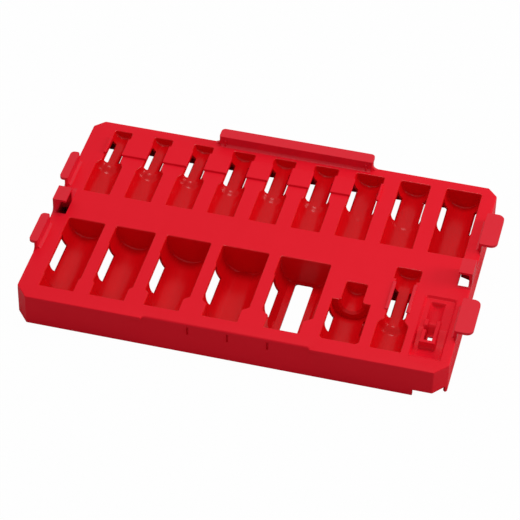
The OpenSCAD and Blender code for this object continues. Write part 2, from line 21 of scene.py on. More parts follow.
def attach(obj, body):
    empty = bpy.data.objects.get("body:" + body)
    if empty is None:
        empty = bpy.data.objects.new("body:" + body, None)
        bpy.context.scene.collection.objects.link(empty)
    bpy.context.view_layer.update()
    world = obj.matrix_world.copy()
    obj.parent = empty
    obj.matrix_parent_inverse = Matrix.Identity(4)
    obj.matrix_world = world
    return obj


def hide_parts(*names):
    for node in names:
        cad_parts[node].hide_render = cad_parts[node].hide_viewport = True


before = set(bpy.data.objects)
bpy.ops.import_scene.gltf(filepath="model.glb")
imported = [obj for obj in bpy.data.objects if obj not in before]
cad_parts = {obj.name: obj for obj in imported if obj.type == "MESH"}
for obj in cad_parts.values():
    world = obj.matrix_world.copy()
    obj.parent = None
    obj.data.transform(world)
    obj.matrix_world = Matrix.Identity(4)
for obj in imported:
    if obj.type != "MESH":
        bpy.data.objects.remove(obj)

LOG = logging.getLogger("tray")
logging.basicConfig(level=logging.INFO, format="%(message)s")

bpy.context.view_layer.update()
IMAGE_WIDTH = 520
MM = 0.001
MERGE = 2e-6
QUARTER = math.pi / 2
WHITE = (1.0, 1.0, 1.0, 1.0)
BODY = "root"
Loop = np.ndarray
Faces = list[list[int]]


# ---- the tray's sizes


@dataclass(frozen=True)
class Tray:
    """The sizes that the pieces of the tray share.

    A row's pair gives the upper row's first. The sides are the decks left and right of each row.
    """

    deck_len: float = 280.0
    deck_depth: float = 182.0
    body_h: float = 22.5
    deck_t: float = 2.2
    shell_t: float = 1.5
    wall_t: float = 1.8
    front_cut: tuple[float, float] = (8.0, 9.5)
    back_cut: float = 6.5
    origin: tuple[float, float] = (142.95, 93.6)
    proud: float = 9.5
    upper_count: int = 9
    upper_len: float = 65.3
    lower_len: float = 67.3
    upper_margin: float = 7.8
    lower_margin: float = 12.7
    sides: tuple[float, float, float, float] = (13.0, 10.0, 12.4, 6.25)
    drive_len: tuple[float, float] = (29.8, 11.8)
    taper: tuple[float, float] = (1.5, 0.6)
    adapter_land: float = 5.0
    adapter_w: float = 20.4
    joint_d: float = 24.7
    ext_d: float = 19.3
    catch_w: float = 9.0
    catch_band: tuple[float, float] = (80.0, 108.9)
    drive_ds: tuple[float, ...] = (18, 18, 18, 18, 18, 19, 19.9, 21.3, 23.6) + (22.5,) * 5
    nose_ds: tuple[float, ...] = (12.4, 12.9, 13.4, 15, 15, 16, 19.1, 20.2, 23.6,
                                  24.6, 26.7, 29.7, 31.1, 33.3)

    def widths(self) -> np.ndarray:
        """Give each socket pocket's full width."""
        return np.maximum(self.drive_ds, self.nose_ds)

    def lower_land(self) -> float:
        """Give the deck between two pockets of the lower row.

        Returns:
            Its width: what the pockets and the sides leave of the deck's length, shared out evenly.
        """
        tools = self.joint_d + self.ext_d + self.adapter_w
        pockets = self.widths()[self.upper_count:].sum() + tools
        free = self.deck_len - self.sides[2] - self.sides[3] - pockets - self.adapter_land
        return free / (len(self.nose_ds) - self.upper_count + 1)

    def middles(self) -> np.ndarray:
        """Give the x of each socket pocket's middle line.

        Returns:
            A row's side, and the sum of the pockets and lands before it, half its own width added.
        """
        n, w = self.upper_count, self.widths()
        land = (self.deck_len - self.sides[0] - self.sides[1] - w[:n].sum()) / (n - 1)
        upper = self.sides[0] + np.cumsum(w[:n]) - w[:n] / 2 + land * np.arange(n)
        lands = self.lower_land() * np.arange(len(w) - n)
        lower = self.sides[2] + np.cumsum(w[n:]) - w[n:] / 2 + lands
        return np.concatenate([upper, lower])

    def joint_x(self) -> float:
        """Give the x of the joint pocket's middle line."""
        last = self.middles()[-1] + self.widths()[-1] / 2
        return float(last + self.lower_land() + self.joint_d / 2)

    def ext_x(self) -> float:
        """Give the x of the extension pocket's middle line."""
        return self.joint_x() + self.joint_d / 2 + self.lower_land() + self.ext_d / 2

    def adapter_x(self) -> float:
        """Give the x of the adapter pocket's middle line."""
        return self.ext_x() + self.ext_d / 2 + self.adapter_land + self.adapter_w / 2

    def placed(self, points: np.ndarray) -> np.ndarray:
        """Turn drawn points into the frame's own place.

        Args:
            points: Rows of x, y and z in millimetres, as drawn.

        Returns:
            The same rows in metres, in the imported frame.
        """
        return (points + np.array([-self.origin[0], -self.origin[1], self.body_h])) * MM


TRAY = Tray()


# ---- surfaces


def ease(t: np.ndarray) -> np.ndarray:
    """Rise from 0 to 1 with flat ends: 3 times t squared less 2 times t cubed, t held in 0 to 1."""
    t = np.clip(t, 0.0, 1.0)
    return t * t * (3.0 - 2.0 * t)


def halfway(a: np.ndarray) -> np.ndarray:
    """Give the means of neighbours."""
    return (a[1:] + a[:-1]) / 2


def between(a: np.ndarray, b: np.ndarray, n: int) -> np.ndarray:
    """Give n even steps from each a towards its b, the b left out, as columns."""
    t = np.arange(n) / n
    return a[:, None] + (b - a)[:, None] * t


def mitres(loop: Loop) -> np.ndarray:
    """Give the vector that moves each corner of a closed loop outwards by one.

    The loop runs clockwise seen from above, and its outside lies on its left. A corner's vector is
    the sum of its two edges' normals over one plus their dot product.

    Args:
        loop: Corner positions in x and y.

    Returns:
        One vector a corner.
    """
    edge = np.roll(loop, -1, 0) - loop
    edge = edge / np.linalg.norm(edge, axis=1, keepdims=True)
    after = np.stack([-edge[:, 1], edge[:, 0]], 1)
    before = np.roll(after, 1, 0)
    return (before + after) / (1.0 + (before * after).sum(1, keepdims=True))


def rounded(corners: Sequence[Sequence[float]], radius: float, steps: int = 5) -> Loop:
    """Round a polygon's corners with arcs.

    Each arc is a quadratic curve whose ends lie on the corner's two sides, as far from it as the
    tangent points of a circle of that radius, and whose middle handle is the corner.

    Args:
        corners: The polygon's corners.
        radius: Radius of the arcs.
        steps: Segments in an arc.

    Returns:
        The loop's points in the same order.
    """
    p = np.array(corners, float)
    back, on = np.roll(p, 1, 0) - p, np.roll(p, -1, 0) - p
    back /= np.linalg.norm(back, axis=1, keepdims=True)
    on /= np.linalg.norm(on, axis=1, keepdims=True)
    half = np.arccos(np.clip((back * on).sum(1), -1, 1)) / 2
    reach = (radius / np.tan(half))[:, None]
    a, b = p + back * reach, p + on * reach
    t = np.linspace(0, 1, steps + 1)[None, :, None]
    arcs = (1 - t) ** 2 * a[:, None] + 2 * t * (1 - t) * p[:, None] + t * t * b[:, None]
    return arcs.reshape(-1, 2)


def quads(index: np.ndarray, closed: bool = False, keep: np.ndarray | None = None) -> Faces:
    """Join a grid of vertex numbers with four-sided faces.

    Args:
        index: Vertex numbers, rows by columns.
        closed: Whether the last column joins the first.
        keep: Which faces to make, one less row and, where open, one less column than index.

    Returns:
        The faces' vertex numbers, turning from a row's next column to the next row.
    """
    right = np.roll(index, -1, 1) if closed else index[:, 1:]
    left = index if closed else index[:, :-1]
    made = np.stack([left[:-1], right[:-1], right[1:], left[1:]], -1)
    return (made.reshape(-1, 4) if keep is None else made[keep]).tolist()


def rims(front: np.ndarray, back: np.ndarray, keep: np.ndarray) -> Faces:
    """Join two grids across the thickness wherever a kept face has no kept neighbour.

    Args:
        front: Vertex numbers of the outer grid, rows by columns.
        back: Those of the inner grid.
        keep: Which faces of the grids are made.

    Returns:
        The faces.
    """
    wide = np.pad(keep, 1)
    sides = ((wide[:-2, 1:-1], np.s_[:-1, :-1], np.s_[:-1, 1:]),
             (wide[2:, 1:-1], np.s_[1:, :-1], np.s_[1:, 1:]),
             (wide[1:-1, :-2], np.s_[:-1, :-1], np.s_[1:, :-1]),
             (wide[1:-1, 2:], np.s_[:-1, 1:], np.s_[1:, 1:]))
    return np.concatenate([np.stack([front[a], front[b], back[b], back[a]], -1)[keep & ~beside]
                           for beside, a, b in sides]).tolist()


def flat_sheet(outer: Loop, holes: Sequence[Loop], z: float) -> tuple[np.ndarray, Faces]:
    """Fill the space inside a loop and outside its holes with triangles at one height.

    Args:
        outer: The outer loop.
        holes: The loops left open.
        z: The sheet's height.

    Returns:
        The vertices, and the triangles.
    """
    loops = [outer, *holes]
    starts = np.cumsum([0] + [len(loop) for loop in loops])
    rings = [list(range(b - 1, a - 1, -1)) for a, b in zip(starts[:-1], starts[1:])]
    points = [Vector(p) for p in np.concatenate(loops).tolist()]
    inside_only, epsilon, sources = 1, 1e-7, True
    out = delaunay_2d_cdt(points, [], rings, inside_only, epsilon, sources)
    flat = np.array([tuple(p) for p in out[0]])
    faces = [list(f) for f, source in zip(out[2], out[5]) if list(source) == [0]]
    return np.column_stack([flat, np.full(len(flat), z)]), faces


@dataclass
class Surface:
    """Vertices and faces that are gathered before they go into one mesh."""

    points: list[np.ndarray] = field(default_factory=list)
    faces: Faces = field(default_factory=list)
    count: int = 0

    def add(self, points: np.ndarray) -> np.ndarray:
        """Add drawn points.

        Args:
            points: An array whose last axis is x, y and z.

        Returns:
            Their vertex numbers, in the array's own layout.
        """
        flat = points.reshape(-1, 3)
        self.points.append(flat)
        self.count += len(flat)
        return np.arange(self.count - len(flat), self.count).reshape(points.shape[:-1])

    def add_sheet(self, outer: Loop, holes: Sequence[Loop], z: float) -> None:
        """Add a flat sheet with holes in it.

        Args:
            outer: The sheet's outline.
            holes: The loops left open.
            z: Its height.
        """
        flat, faces = flat_sheet(outer, holes, z)
        self.faces += (np.array(faces) + self.count).tolist()
        self.add(flat)

    def mesh(self, name: str, close: bool) -> bpy.types.Mesh:
        """Make the mesh.

        Args:
            name: The mesh's name.
            close: Whether to merge doubles and turn every face of the closed form outwards.

        Returns:
            The mesh, in metres.
        """
        made = bpy.data.meshes.new(name)
        made.from_pydata(TRAY.placed(np.concatenate(self.points)).tolist(), [], self.faces)
        if close:
            form = bmesh.new()
            form.from_mesh(made)
            bmesh.ops.remove_doubles(form, verts=form.verts, dist=MERGE)
            bmesh.ops.recalc_face_normals(form, faces=form.faces)
            form.to_mesh(made)
            form.free()
        return made


# ---- finishes


class Wire:
    """A shader socket that Python's own arithmetic works on, through Math nodes."""

    def __init__(self, shader: "Shader", socket: bpy.types.NodeSocket | None) -> None:
        """Wrap a socket.

        Args:
            shader: The shader whose tree holds it.
            socket: The output socket, or none where a node only ends the tree.
        """
        self.shader = shader
        self.socket = socket

    def _math(self, operation: str, a: "Wire | float", b: "Wire | float") -> "Wire":
        """Join two values with a Math node."""
        return self.shader.node("ShaderNodeMath", {"operation": operation}, {0: a, 1: b})

    def __add__(self, other: "Wire | float") -> "Wire":
        """Add."""
        return self._math("ADD", self, other)

    def __sub__(self, other: "Wire | float") -> "Wire":
        """Subtract."""
        return self._math("SUBTRACT", self, other)

    def __rsub__(self, other: float) -> "Wire":
        """Subtract from a number."""
        return self._math("SUBTRACT", other, self)

    def __mul__(self, other: "Wire | float") -> "Wire":
        """Multiply."""
        return self._math("MULTIPLY", self, other)

    __radd__ = __add__
    __rmul__ = __mul__


class Shader:
    """A material's or a world's node tree."""

    def __init__(self, owner: bpy.types.Material | bpy.types.World) -> None:
        """Start an empty tree.

        Args:
            owner: The material or the world that it belongs to.
        """
        owner.use_nodes = True
        self.tree = owner.node_tree
        self.tree.nodes.clear()

    def node(self, kind: str, settings: dict[str, object], values: dict[int | str, object],
             output: int | str = 0) -> Wire:
        """Add a node.

        Args:
            kind: The node's type.
            settings: Its own settings, set before its sockets.
            values: A number, a colour or a Wire for each named or numbered input.
            output: The output that is wanted.

        Returns:
            That output, empty where the node has none.
        """
        made = self.tree.nodes.new(kind)
        for name, value in settings.items():
            setattr(made, name, value)
        for name, value in values.items():
            if isinstance(value, Wire):
                self.tree.links.new(value.socket, made.inputs[name])
            else:
                made.inputs[name].default_value = value
        return Wire(self, made.outputs[output] if len(made.outputs) else None)

    def mix_colour(self, share: Wire, a: Sequence[float], b: Sequence[float]) -> Wire:
        """Mix two colours by a share of the second."""
        return self.node("ShaderNodeMix", {"data_type": "RGBA"},
                         {0: share, 6: (*a, 1.0), 7: (*b, 1.0)}, 2)


@dataclass(frozen=True)
class MouldedRed:
    """Red polypropylene as it comes from the mould, with its flow clouds and fine texture.

    The scales are those of the clouds, the flow streaks and the grain.
    """

    name: str
    deep: tuple[float, float, float] = (0.74, 0.005, 0.016)
    bright: tuple[float, float, float] = (0.80, 0.007, 0.022)
    roughness: float = 0.42
    texture: float = 0.16
    specular: float = 0.10
    coat: float = 0.0
    coat_roughness: float = 0.24
    ior: float = 1.49
    scales: tuple[float, float, float] = (16.0, 120.0, 2600.0)
    stretch: tuple[float, float, float] = (1.0, 0.35, 1.0)
    cloud_share: float = 0.6
    grain_share: float = 0.7
    streak_rough: float = 0.10
    grain_rough: float = 0.08
    relief: float = 0.0002

    def make(self) -> bpy.types.Material:
        """Make the material.

        Its colour drifts between two reds with broad clouds and shorter flow streaks. Its roughness
        and its bump come from the same streaks and a grain under half a millimetre.

        Returns:
            The material.
        """
        material = bpy.data.materials.new(self.name)
        s = Shader(material)
        place = s.node("ShaderNodeTexCoord", {}, {}, "Object")
        broad, short, fine = self.scales
        cloud = s.node("ShaderNodeTexNoise", {}, {"Vector": place, "Scale": broad, "Detail": 3.0})
        along = s.node("ShaderNodeMapping", {}, {"Vector": place, "Scale": self.stretch})
        streak = s.node("ShaderNodeTexNoise", {},
                        {"Vector": along, "Scale": short, "Detail": 2.0, "Distortion": 0.8})
        grain = s.node("ShaderNodeTexNoise", {}, {"Vector": place, "Scale": fine, "Detail": 2.0})
        drift = cloud * self.cloud_share + streak * (1 - self.cloud_share)
        tone = s.mix_colour(drift, self.deep, self.bright)
        streaky, grainy = (streak - 0.5) * self.streak_rough, (grain - 0.5) * self.grain_rough
        rough = streaky + grainy + self.roughness
        height = grain * self.grain_share + streak * (1 - self.grain_share)
        bump = s.node("ShaderNodeBump", {},
                      {"Strength": self.texture, "Distance": self.relief, "Height": height})
        plastic = s.node("ShaderNodeBsdfPrincipled", {}, {
            "Base Color": tone, "Roughness": rough, "Normal": bump,
            "Specular IOR Level": self.specular, "IOR": self.ior,
            "Coat Weight": self.coat, "Coat Roughness": self.coat_roughness})
        s.node("ShaderNodeOutputMaterial", {}, {"Surface": plastic})
        return material


class Finish(Enum):
    """The finishes of the tray's surfaces. The trough's and the edges' reds are darker copies of
    the deck's, with painted shade.
    """

    DECK = MouldedRed("moulded_deck")
    # Painted shade: the trough's red is darker and deeper than the deck's, standing in for the
    # shade inside the pockets; its coat and lower roughness are its real gloss.
    TROUGH_PAINTED_SHADE = MouldedRed("polished_trough_painted_shade", roughness=0.30, texture=0.05, specular=0.05,
                        coat=0.34, deep=(0.65, 0.001, 0.004), bright=(0.71, 0.002, 0.006))
    # Painted shade: the edges' red is darker than the deck's, standing in for the shade on the
    # hooked tabs, the rear lip, the catches and the extension's rims; its specular and coat are
    # real gloss.
    EDGE = MouldedRed("moulded_edge_painted_shade", roughness=0.36, texture=0.10, specular=0.2, coat=0.15,
                      deep=(0.68, 0.006, 0.019), bright=(0.74, 0.009, 0.026))
    WALL = MouldedRed("drafted_wall", roughness=0.46, texture=0.22)


class Finishes:
    """The materials, each made once."""

    def __init__(self) -> None:
        """Make every finish."""
        self.made = {finish: finish.value.make() for finish in Finish}

    def dress(self, piece: bpy.types.Object, finish: Finish) -> None:
        """Give a piece or a CAD node its finish.

        Args:
            piece: The piece.
            finish: What it gets.
        """
        piece.data.materials.clear()
        piece.data.materials.append(self.made[finish])


# ---- pieces


def read(parts: bpy.types.bpy_prop_collection, name: str, kind: type,
         width: int = 1) -> np.ndarray:
    """Read a property of a mesh's vertices, edges, faces or corners.

    Args:
        parts: The vertices, edges, faces or corners.
        name: The property's name.
        kind: The type of its numbers.
        width: How many numbers each part has.

    Returns:
        The numbers, one row a part where each has more than one.
    """
    values = np.empty(len(parts) * width, kind)
    parts.foreach_get(name, values)
    return values.reshape(-1, width) if width > 1 else values


def linked(name: str, data: bpy.types.ID) -> bpy.types.Object:
    """Make an object round its data and put it into the scene.

    Args:
        name: The object's name.
        data: Its mesh, lamp or camera data.

    Returns:
        The object.
    """
    made = bpy.data.objects.new(name, data)
    bpy.context.scene.collection.objects.link(made)
    return made


def new_piece(name: str, mesh: bpy.types.Mesh, finish: Finish, finishes: Finishes,
              replaced: Sequence[str], sharp: float = 32.0) -> bpy.types.Object:
    """Put a mesh into the scene as a piece of the tray, with its open edges sharp.

    Args:
        name: The piece's name.
        mesh: Its mesh, in metres.
        finish: Its finish.
        finishes: The materials.
        replaced: The CAD nodes that it stands for.
        sharp: Angle between faces, in degrees, past which their edge stays sharp.

    Returns:
        The object.
    """
    mesh.shade_smooth()
    mesh.set_sharp_from_angle(angle=math.radians(sharp))
    keen = read(mesh.edges, "use_edge_sharp", bool)
    sides = np.bincount(read(mesh.loops, "edge_index", np.int32), minlength=len(keen))
    mesh.edges.foreach_set("use_edge_sharp", keen | (sides == 1))
    piece = linked(name, mesh)
    finishes.dress(piece, finish)
    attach(piece, BODY)
    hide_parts(*replaced)
    LOG.info("%s: %d faces, stands for %s", name, len(mesh.polygons), ", ".join(replaced))
    return piece


def thicken(piece: bpy.types.Object, thickness: float, even: bool) -> None:
    """Give an open sheet a wall on its back.

    Args:
        piece: The sheet.
        thickness: The wall's thickness in millimetres.
        even: Whether it stays even where the sheet bends.
    """
    shell = piece.modifiers.new("shell", "SOLIDIFY")
    shell.thickness = thickness * MM
    shell.offset = -1.0
    shell.use_even_offset = even


@dataclass
class PocketLiner:
    """The round-bottomed shell of one pocket, with its soft rim and its side windows.

    A station is a distance from the pocket's front end and the trough's radius there. The window,
    the slot and the lip run between two such distances. The grid's columns in a half section are
    the straight ones under the rim and then the steps: beside the window, from there to the slot,
    and across the slot.
    """

    node: str
    x: float
    front: float
    width: float
    stations: tuple[tuple[float, float], ...]
    window: tuple[float, float]
    slot: tuple[float, float] | None = None
    rim: float = 0.5
    back_fillet: float = 1.3
    front_fillet: float = 0.5
    window_reach: float = 3.1
    window_corner: float = 2.4
    slot_half: float = 5.85
    slot_corner: float = 2.0
    lip: tuple[float, float] | None = None
    lip_reach: float = 0.7
    lip_ease: float = 1.8
    under: float = 0.15
    off_floor: float = 0.5
    strip: float = 0.35
    end_gap: float = 1.5
    spacing: float = 2.5
    clear: float = 0.8
    ramp_min: float = 1.3
    ramp_step: float = 0.6
    ramp_rows: tuple[int, int] = (3, 11)
    straight: int = 3
    steps: tuple[int, int, int] = (6, 6, 5)
    drawn_in: tuple[float, float, float] = (0.72, 0.46, 0.22)

    @property
    def length(self) -> float:
        """The pocket's length."""
        return self.stations[-1][0]

    def rows(self) -> np.ndarray:
        """Give the distances from the front end at which sections stand.

        They stand at the stations and the openings' ends, close together in every curve, and evenly
        wherever that leaves room.

        Returns:
            The distances in rising order.
        """
        fixed = [s for s, _ in self.stations] + list(self.window)
        turn, corner = np.linspace(0, QUARTER, 5), np.linspace(0, QUARTER, 7)
        fixed += list(self.length - self.back_fillet * (1 - np.sin(turn)))
        fixed += list(self.front_fillet * (1 - np.cos(turn)))
        fixed += list(self.window[0] + self.window_corner * (1 - np.cos(corner)))
        least, most = self.ramp_rows
        for (a, ra), (b, rb) in zip(self.stations[:-1], self.stations[1:]):
            if ra != rb and b - a > self.ramp_min:
                count = max(least, min(most, int((b - a) / self.ramp_step)))
                fixed += list(np.linspace(a, b, count))
        for end, side in zip(self.lip or (), (1, -1)):
            fixed += list(end + side * np.linspace(0, self.lip_ease, 7))
        for end, side in zip(self.slot or (), (1, -1)):
            fixed += list(end + side * self.slot_corner * (1 - np.cos(corner)))
        fixed = np.unique(np.round(fixed, 4))
        even = np.arange(self.end_gap, self.length - self.end_gap, self.spacing)
        even = even[np.abs(even[:, None] - fixed).min(1) > self.clear]
        return np.sort(np.concatenate([fixed, even]))

    def radius(self, s: np.ndarray) -> np.ndarray:
        """Give the trough's radius along the pocket.

        It eases from station to station, and at both ends it falls by a quarter circle's sine, so
        that the end walls meet the trough in a fillet.

        Args:
            s: Distances from the front end.

        Returns:
            The radii.
        """
        at, r = np.array(self.stations).T
        k = np.clip(np.searchsorted(at, s, "right") - 1, 0, len(at) - 2)
        plain = r[k] + (r[k + 1] - r[k]) * ease((s - at[k]) / (at[k + 1] - at[k]))
        fall = np.zeros_like(s)
        for depth, into in ((self.back_fillet, s - (self.length - self.back_fillet)),
                            (self.front_fillet, self.front_fillet - s)):
            into = np.clip(into / depth, 0, 1)
            fall += depth * (1 - np.sqrt(1 - into * into))
        return plain - fall

    def sections(self, s: np.ndarray) -> tuple[np.ndarray, np.ndarray]:
        """Give the pocket's cross-sections.

        A half section starts under the rim, falls straight to the height of the axis and goes on
        round a circle to the bottom. A distance along it is negative above the axis, and below it
        is the radius times the angle. Columns of the grid follow the edges of the windows and the
        slot. The left side's top reaches over the trough by the lip.

        Args:
            s: Distances from the front end.

        Returns:
            x from the middle line, and z, one row a section, from the left rim to the right one.
        """
        r, axis = self.radius(s), TRAY.proud - self.width / 2
        upper_z = np.array([-self.rim, -(self.rim + TRAY.deck_t) / 2, -TRAY.deck_t])
        drop = np.clip(axis - upper_z, 0, None)
        lip = np.zeros_like(s)
        if self.lip:
            rise, fall = (s - self.lip[0]) / self.lip_ease, (self.lip[1] - s) / self.lip_ease
            lip = self.lip_reach * ease(rise) * ease(fall)
        upper_x = np.sqrt(r[:, None] ** 2 - drop ** 2)
        top = axis + TRAY.deck_t + self.under
        start = np.full_like(r, top) if top <= 0 else r * np.arcsin(top / r)
        edge = r * np.arccos((r - self.window_reach + self.corner_at(s)) / r)
        inner = r * np.arccos(self.slot_at(s, r) / r)
        bottom = r * QUARTER
        q = np.column_stack([between(start, edge, self.steps[0]),
                             between(edge, inner, self.steps[1]),
                             between(inner, bottom, self.steps[2]), bottom])
        angle = np.clip(q, 0, None) / r[:, None]
        lower_x = r[:, None] * np.cos(angle)
        lower_z = axis - r[:, None] * np.sin(angle) - np.clip(q, None, 0)
        lower_x[:, -1] = 0.0
        x = np.column_stack([upper_x, lower_x])
        z = np.column_stack([np.broadcast_to(upper_z, upper_x.shape), lower_z])
        z = np.maximum(z, TRAY.shell_t + self.off_floor - TRAY.body_h)
        left = -x
        left[:, :self.straight] += lip[:, None]
        return np.column_stack([left, x[:, -2::-1]]), np.column_stack([z, z[:, -2::-1]])

    def corner_at(self, s: np.ndarray) -> np.ndarray:
        """Give how far the window's inner edge steps out for its round front corner.

        Past the window's front end it is the corner's radius less the height of a quarter circle,
        and before that it eases in over twice the radius.

        Args:
            s: Distances from the front end.

        Returns:
            The steps.
        """
        c, into = self.window_corner, s - self.window[0]
        arc = c - np.sqrt(np.clip(c * c - (c - np.clip(into, 0, c)) ** 2, 0, None))
        return np.where(into < 0, c * ease(1 + into / (2 * c)), arc)

    def slot_at(self, s: np.ndarray, r: np.ndarray) -> np.ndarray:
        """Give the half width of the floor slot, or of the strip that lies in its place.

        The slot's ends have quarter circles for corners. The strip is a share of the radius.

        Args:
            s: Distances from the front end.
            r: The trough's radii there.

        Returns:
            The half widths.
        """
        if not self.slot:
            return self.strip * r
        c = self.slot_corner
        near = np.clip(np.minimum(s - self.slot[0], self.slot[1] - s), 0, c)
        return self.slot_half - (c - np.sqrt(c * c - (c - near) ** 2))

    def build(self, finishes: Finishes) -> Loop:
        """Make the liner.

        Args:
            finishes: The materials.

        Returns:
            The loop where its rim meets the deck's top, clockwise.
        """
        surface, s = Surface(), self.rows()
        x, z = self.sections(s)
        y = np.broadcast_to(s[:, None], x.shape)
        grid = np.stack([x + self.x, y + self.front, z], -1)
        index = surface.add(grid)
        surface.faces += quads(index, keep=self.kept(s, x.shape[1] - 1))
        walls = [self.end_wall(surface, grid[-1], index[-1], False),
                 self.end_wall(surface, grid[0], index[0], True)]
        loop = np.concatenate([index[:, 0], walls[0], index[::-1, -1], walls[1][::-1]])
        flat = np.concatenate(surface.points)[loop]
        out = mitres(flat[:, :2])
        turn = np.linspace(0, QUARTER, 5)[1:, None]
        away = self.rim * (1 - np.cos(turn))
        rise = np.broadcast_to(self.rim * (np.sin(turn) - 1), (len(turn), len(loop)))
        ring = np.concatenate([flat[:, :2] + out * away[..., None], rise[..., None]], -1)
        surface.faces += quads(np.concatenate([loop[None], surface.add(ring)]), closed=True)
        # The trough finish paints shade into the liner: its red is darker than the deck's.
        piece = new_piece(f"{self.node}_liner", surface.mesh(self.node, False), Finish.TROUGH_PAINTED_SHADE,
                          finishes, [self.node])
        thicken(piece, TRAY.shell_t, True)
        return ring[-1, :, :2]

    def kept(self, s: np.ndarray, columns: int) -> np.ndarray:
        """Give the faces of the trough that stay round its windows and its slot.

        Args:
            s: Distances from the front end.
            columns: How many faces lie across the trough.

        Returns:
            One row of booleans between two distances.
        """
        middle = halfway(s)
        half = np.minimum(np.arange(columns), columns - 1 - np.arange(columns)) - self.straight
        beside = (half >= 0) & (half < self.steps[0])
        gone = ((middle > self.window[0]) & (middle < self.window[1]))[:, None] & beside
        if self.slot:
            floor = half >= self.steps[0] + self.steps[1]
            gone |= ((middle > self.slot[0]) & (middle < self.slot[1]))[:, None] & floor
        return ~gone

    def end_wall(self, surface: Surface, row: np.ndarray, index: np.ndarray,
                 facing_back: bool) -> np.ndarray:
        """Close an end of the trough with a flat wall.

        The wall's rows are the end section, drawn in by steps towards the middle of its top line.

        Args:
            surface: Where the wall goes.
            row: The end section's points.
            index: Their vertex numbers.
            facing_back: Whether this is the front end.

        Returns:
            The vertex numbers along the wall's top line, from left to right, without its ends.
        """
        pole = np.array([self.x, row[0, 1], -self.rim])
        share = np.array(self.drawn_in)[:, None, None]
        inner = surface.add(pole + (row - pole) * share)
        middle = int(surface.add(pole[None])[0])
        rows = np.concatenate([index[None], inner])
        fan = np.stack([inner[-1, :-1], inner[-1, 1:], np.full(len(index) - 1, middle)], -1)
        wall = quads(rows[::-1]) if facing_back else quads(rows)
        surface.faces += wall + (fan[:, ::-1] if facing_back else fan).tolist()
        return np.concatenate([inner[:, 0], [middle], inner[::-1, -1]])


@dataclass(frozen=True)
class SocketRows:
    """The fourteen socket pockets. The tapers' softness is the upper row's and the lower row's."""

    soft: tuple[float, float] = (1.2, 1.0)
    after_taper: float = 1.8
    upper_window_end: float = 57.0
    lower_window: tuple[float, float] = (24.8, 52.5)
    lip_end: float = 50.5
    slot_front: float = 16.5
    slot_margin: float = 0.9

    def liners(self) -> list[PocketLiner]:
        """Lay out the pockets.

        A pocket has the drive end's radius, a taper softened at both ends, and the nose's radius.

        Returns:
            The pockets from left to right, the upper row first.
        """
        made = []
        for i, (x, drive, nose) in enumerate(zip(TRAY.middles(), TRAY.drive_ds, TRAY.nose_ds)):
            row = int(i >= TRAY.upper_count)
            length = (TRAY.upper_len, TRAY.lower_len)[row]
            front = (TRAY.deck_depth - TRAY.upper_margin - length, TRAY.lower_margin)[row]
            a = TRAY.drive_len[row]
            b = a + abs(nose - drive) / 2 * TRAY.taper[row]
            soft = self.soft[row] if nose != drive else 0.0
            stations = ((0.0, drive / 2), (a - soft, drive / 2), (b + soft, nose / 2),
                        (length, nose / 2))
            lip, slot = None, None
            window = (b + self.after_taper, self.upper_window_end)
            if row:
                window, lip = self.lower_window, (b + soft - self.after_taper, self.lip_end)
            if i == len(TRAY.nose_ds) - 1:
                slot = (self.slot_front, length - self.slot_margin)
            if nose == drive:
                stations = (stations[0], stations[-1])
            made.append(PocketLiner(f"cradle_{i + 1:02d}", float(x), front, max(drive, nose),
                                    stations, window, slot, lip=lip))
        return made


@dataclass(frozen=True)
class ToolPockets:
    """The joint's and the extension's pockets, as stations and windows."""

    joint: tuple[tuple[float, float], ...] = (
        (0.0, TRAY.joint_d / 2 - 1.6), (1.6, TRAY.joint_d / 2), (37.0, TRAY.joint_d / 2),
        (37.05, 8.4), (38.5, 6.9), (55.0, 6.9))
    joint_window: tuple[float, float] = (16.3, 31.8)
    extension: tuple[tuple[float, float], ...] = (
        (0.0, TRAY.ext_d / 2), (22.9, TRAY.ext_d / 2), (28.7, 6.45), (65.8, 6.45),
        (65.85, 8.2), (76.7, 8.2))
    extension_window: tuple[float, float] = (33.8, 59.6)

    def liners(self) -> list[PocketLiner]:
        """Lay out both pockets.

        Returns:
            The joint's, and the extension's.
        """
        return [PocketLiner("joint_cradle", TRAY.joint_x(), TRAY.lower_margin, TRAY.joint_d,
                            self.joint, self.joint_window),
                PocketLiner("extension_cradle", TRAY.ext_x(), TRAY.lower_margin, TRAY.ext_d,
                            self.extension, self.extension_window)]


